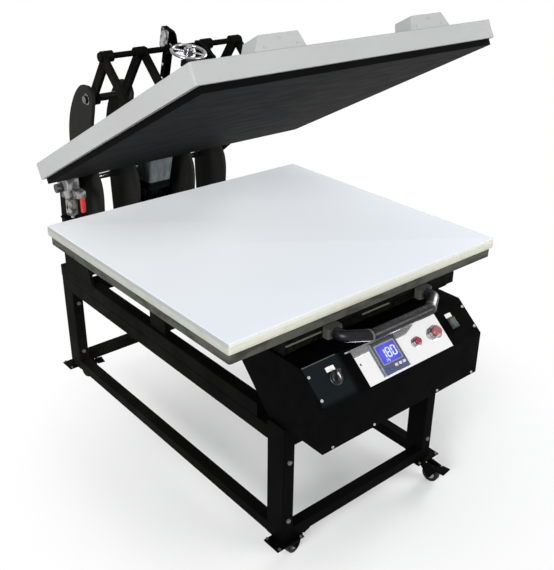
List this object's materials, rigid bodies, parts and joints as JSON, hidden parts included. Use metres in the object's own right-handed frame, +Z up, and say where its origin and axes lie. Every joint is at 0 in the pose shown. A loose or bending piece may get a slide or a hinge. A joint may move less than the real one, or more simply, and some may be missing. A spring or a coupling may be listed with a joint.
{
  "type": "large format heat press",
  "caption": "Large format heat press: sliding padded table, swing-up heated platen on a toggle linkage with air cylinder, sloped control console, welded stand on casters.",
  "frame": {"origin": "On the floor, under the centre of the bounding box", "axes": "+X to the operator's right, +Y to the rear away from the operator, +Z up"},
  "size_m": [1.003, 1.4084, 1.4477],
  "materials": {
    "black_powder_coat": "black powder coat, satin",
    "light_grey_paint": "light grey enamel, satin",
    "dark_heater_coating": "dark non-stick coating on the heating plate, matt",
    "table_plate_metal": "grey table plate, dull",
    "silicone_pad": "pale silicone pad with cream edge, matt",
    "black_rubber": "black grip rubber, satin",
    "polished_steel": "polished and chromed steel",
    "zinc_steel": "zinc plated steel, satin",
    "cylinder_aluminium": "anodised aluminium, satin",
    "white_panel": "white coated sheet, satin",
    "instrument_grey": "dark grey instrument plastic, matt",
    "display": "blue lit display",
    "key_plastic": "pale key caps",
    "red_plastic": "red button plastic, gloss",
    "green_plastic": "green switch plastic, gloss",
    "black_plastic": "black plastic, satin",
    "white_label": "blank white label",
    "red_capsule": "red plastic, gloss",
    "cast_zinc": "cast zinc alloy, dull",
    "caster_wheel": "black caster tread with grey hub"
  },
  "bodies": {
    "stand": {"left_side_frame": "black_powder_coat", "right_side_frame": "black_powder_coat", "frame_cross_tubes": "black_powder_coat", "bearer_rails": "black_powder_coat", "tower_beams": "black_powder_coat", "inner_toggle_plates": "black_powder_coat", "outer_toggle_plates": "black_powder_coat", "hinge_uprights": "black_powder_coat", "platen_hinge_shaft": "polished_steel", "pivot_pins": "zinc_steel", "cylinder_base_bracket": "black_powder_coat", "slide_posts": "black_powder_coat", "console_shell": "black_powder_coat", "control_panel": "white_panel", "temperature_controller": "instrument_grey", "controller_display": "display", "button_bezels": "polished_steel", "label_plates": "white_label", "switch_mounts": "black_plastic", "machine_screws": "zinc_steel", "filter_regulator": "cast_zinc", "filter_bowl": "cast_zinc", "red_drain_capsule": "red_capsule"},
    "table": {"table_subframe": "black_powder_coat", "table_plate": "table_plate_metal", "silicone_pad": "silicone_pad", "table_handle": "black_rubber"},
    "platen": {"heating_plate": "dark_heater_coating", "platen_cover": "light_grey_paint", "terminal_covers": "light_grey_paint", "platen_hinge_arms": "black_powder_coat", "link_lugs": "black_powder_coat"},
    "rear_links": {"rear_links": "black_powder_coat", "toggle_cross_tube": "black_powder_coat"},
    "front_links": {"front_links": "black_powder_coat", "pressure_screw_bracket": "black_powder_coat"},
    "handwheel": {"handwheel": "polished_steel"},
    "cylinder_rod": {"cylinder_rod": "polished_steel", "rod_yoke": "black_powder_coat"},
    "cylinder_barrel": {"air_cylinder_barrel": "cylinder_aluminium"},
    "left_key": {"left_controller_key": "key_plastic"},
    "middle_key": {"middle_controller_key": "key_plastic"},
    "right_key": {"right_controller_key": "key_plastic"},
    "small_button": {"small_red_button": "red_plastic"},
    "large_button": {"large_red_button": "red_plastic"},
    "rocker_switch": {"green_rocker_switch": "green_plastic"},
    "selector": {"selector_switch": "black_plastic"},
    "regulator_knob": {"pressure_regulator_knob": "black_plastic"},
    "front_left_caster": {"front_left_caster_fork": "black_powder_coat"},
    "front_left_wheel": {"front_left_caster_wheel": "caster_wheel"},
    "front_left_pedal": {"front_left_caster_pedal": "black_powder_coat"},
    "front_right_caster": {"front_right_caster_fork": "black_powder_coat"},
    "front_right_wheel": {"front_right_caster_wheel": "caster_wheel"},
    "front_right_pedal": {"front_right_caster_pedal": "black_powder_coat"},
    "rear_left_caster": {"rear_left_caster_fork": "black_powder_coat"},
    "rear_left_wheel": {"rear_left_caster_wheel": "caster_wheel"},
    "rear_left_pedal": {"rear_left_caster_pedal": "black_powder_coat"},
    "rear_right_caster": {"rear_right_caster_fork": "black_powder_coat"},
    "rear_right_wheel": {"rear_right_caster_wheel": "caster_wheel"},
    "rear_right_pedal": {"rear_right_caster_pedal": "black_powder_coat"}
  },
  "joints": [
    {"name": "platen_lift", "type": "hinge", "parent": "stand", "child": "platen", "pos_m": [0, 0.58722, 0.827], "axis": [1, 0, 0], "range_deg": [0, 27.3]},
    {"name": "rear_link_swing", "type": "hinge", "parent": "stand", "child": "rear_links", "pos_m": [0, 0.47123, 1.1275], "axis": [1, 0, 0], "range_deg": [0, 76.5]},
    {"name": "front_link_swing", "type": "hinge", "parent": "rear_links", "child": "front_links", "pos_m": [0, 0.35923, 1.2745], "axis": [1, 0, 0], "range_deg": [-79.3, 0]},
    {"name": "cylinder_rod_swing", "type": "hinge", "parent": "rear_links", "child": "cylinder_rod", "pos_m": [0, 0.35923, 1.2745], "axis": [1, 0, 0], "range_deg": [-58.5, 0]},
    {"name": "cylinder_stroke", "type": "slide", "parent": "cylinder_rod", "child": "cylinder_barrel", "axis": [0, -0.2801, 0.96], "range_m": [0, 0.17]},
    {"name": "pressure_wheel_spin", "type": "hinge", "parent": "front_links", "child": "handwheel", "pos_m": [0, 0.27722, 1.274], "axis": [0, -0.2419, 0.9703], "continuous": true},
    {"name": "table_slide", "type": "slide", "parent": "stand", "child": "table", "axis": [0, -1, 0], "range_m": [0, 0.4]},
    {"name": "front_left_caster_swivel", "type": "hinge", "parent": "stand", "child": "front_left_caster", "pos_m": [-0.2955, -0.55078, 0.065], "axis": [0, 0, 1], "continuous": true},
    {"name": "front_left_wheel_roll", "type": "hinge", "parent": "front_left_caster", "child": "front_left_wheel", "pos_m": [-0.25442, -0.54204, 0.028], "axis": [-0.2079, 0.9781, 0], "continuous": true},
    {"name": "front_left_brake_pedal", "type": "hinge", "parent": "front_left_caster", "child": "front_left_pedal", "pos_m": [-0.23486, -0.53788, 0.057], "axis": [-0.2079, 0.9781, 0], "range_deg": [0, 14]},
    {"name": "front_right_caster_swivel", "type": "hinge", "parent": "stand", "child": "front_right_caster", "pos_m": [0.2955, -0.55078, 0.065], "axis": [0, 0, 1], "continuous": true},
    {"name": "front_right_wheel_roll", "type": "hinge", "parent": "front_right_caster", "child": "front_right_wheel", "pos_m": [0.30134, -0.59237, 0.028], "axis": [0.9903, 0.1392, 0], "continuous": true},
    {"name": "front_right_brake_pedal", "type": "hinge", "parent": "front_right_caster", "child": "front_right_pedal", "pos_m": [0.30413, -0.61217, 0.057], "axis": [0.9903, 0.1392, 0], "range_deg": [0, 14]},
    {"name": "rear_left_caster_swivel", "type": "hinge", "parent": "stand", "child": "rear_left_caster", "pos_m": [-0.2955, 0.67322, 0.065], "axis": [0, 0, 1], "continuous": true},
    {"name": "rear_left_wheel_roll", "type": "hinge", "parent": "rear_left_caster", "child": "rear_left_wheel", "pos_m": [-0.25414, 0.66593, 0.028], "axis": [0.1736, 0.9848, 0], "continuous": true},
    {"name": "rear_left_brake_pedal", "type": "hinge", "parent": "rear_left_caster", "child": "rear_left_pedal", "pos_m": [-0.23444, 0.66246, 0.057], "axis": [0.1736, 0.9848, 0], "range_deg": [0, 14]},
    {"name": "rear_right_caster_swivel", "type": "hinge", "parent": "stand", "child": "rear_right_caster", "pos_m": [0.2955, 0.67322, 0.065], "axis": [0, 0, 1], "continuous": true},
    {"name": "rear_right_wheel_roll", "type": "hinge", "parent": "rear_right_caster", "child": "rear_right_wheel", "pos_m": [0.30637, 0.63266, 0.028], "axis": [0.9659, 0.2588, 0], "continuous": true},
    {"name": "rear_right_brake_pedal", "type": "hinge", "parent": "rear_right_caster", "child": "rear_right_pedal", "pos_m": [0.31155, 0.61334, 0.057], "axis": [0.9659, 0.2588, 0], "range_deg": [0, 14]},
    {"name": "left_key_press", "type": "slide", "parent": "stand", "child": "left_key", "axis": [0, 0.6494, -0.7605], "range_m": [0, 0.0008], "stiffness_N_per_m": 400},
    {"name": "middle_key_press", "type": "slide", "parent": "stand", "child": "middle_key", "axis": [0, 0.6494, -0.7605], "range_m": [0, 0.0008], "stiffness_N_per_m": 400},
    {"name": "right_key_press", "type": "slide", "parent": "stand", "child": "right_key", "axis": [0, 0.6494, -0.7605], "range_m": [0, 0.0008], "stiffness_N_per_m": 400},
    {"name": "small_button_press", "type": "slide", "parent": "stand", "child": "small_button", "axis": [0, 0.6494, -0.7605], "range_m": [0, 0.002], "stiffness_N_per_m": 600},
    {"name": "large_button_press", "type": "slide", "parent": "stand", "child": "large_button", "axis": [0, 0.6494, -0.7605], "range_m": [0, 0.002], "stiffness_N_per_m": 800},
    {"name": "green_switch_rock", "type": "hinge", "parent": "stand", "child": "rocker_switch", "pos_m": [0.23, -0.6588, 0.64076], "axis": [1, 0, 0], "range_deg": [-10, 0]},
    {"name": "selector_turn", "type": "hinge", "parent": "stand", "child": "selector", "pos_m": [-0.225, -0.65707, 0.64027], "axis": [0, -0.6494, 0.7605], "range_deg": [0, 70]},
    {"name": "regulator_knob_turn", "type": "hinge", "parent": "stand", "child": "regulator_knob", "pos_m": [-0.376, 0.49523, 0.852], "axis": [1, 0, 0], "range_deg": [-170, 170]}
  ],
  "couplings": [
    {"joint": "rear_link_swing", "follows": "platen_lift", "ratio": 2.7992},
    {"joint": "front_link_swing", "follows": "platen_lift", "ratio": -2.9019},
    {"joint": "cylinder_rod_swing", "follows": "platen_lift", "ratio": -2.1379},
    {"joint": "cylinder_stroke", "follows": "platen_lift", "m_per_rad": 0.35661}
  ]
}
